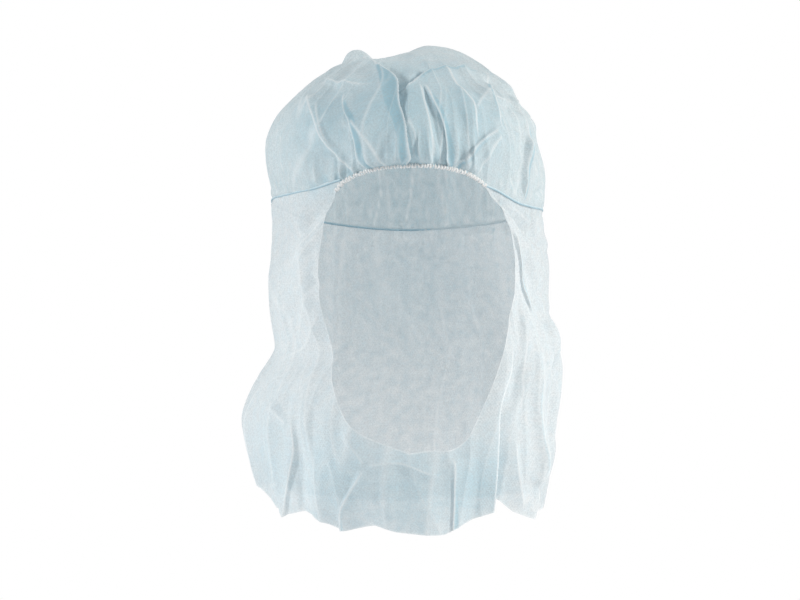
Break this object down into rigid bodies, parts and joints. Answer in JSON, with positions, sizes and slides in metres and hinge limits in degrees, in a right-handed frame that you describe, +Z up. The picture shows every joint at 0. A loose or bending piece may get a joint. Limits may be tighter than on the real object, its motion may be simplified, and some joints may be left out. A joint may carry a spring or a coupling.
{
  "type": "disposable astronaut hood",
  "caption": "Loose pale-blue nonwoven hood: a gathered crown with a forehead elastic, a seam round the head and a neck drape with an open face.",
  "frame": {"origin": "where the crown's lining rests on the top of the wearer's head", "axes": "+Z up, the face opening looks along -Y, +X is the right of the front view"},
  "size_m": [0.1947, 0.2369, 0.3008],
  "materials": {
    "crown_nonwoven": "matte",
    "drape_nonwoven": "matte",
    "elastic_white": "matte",
    "seam_nonwoven": "satin"
  },
  "bodies": {
    "root": {"crown": "crown_nonwoven", "neck_drape": "drape_nonwoven", "elastic_band": "elastic_white", "seam_welt": "seam_nonwoven"}
  },
  "joints": []
}
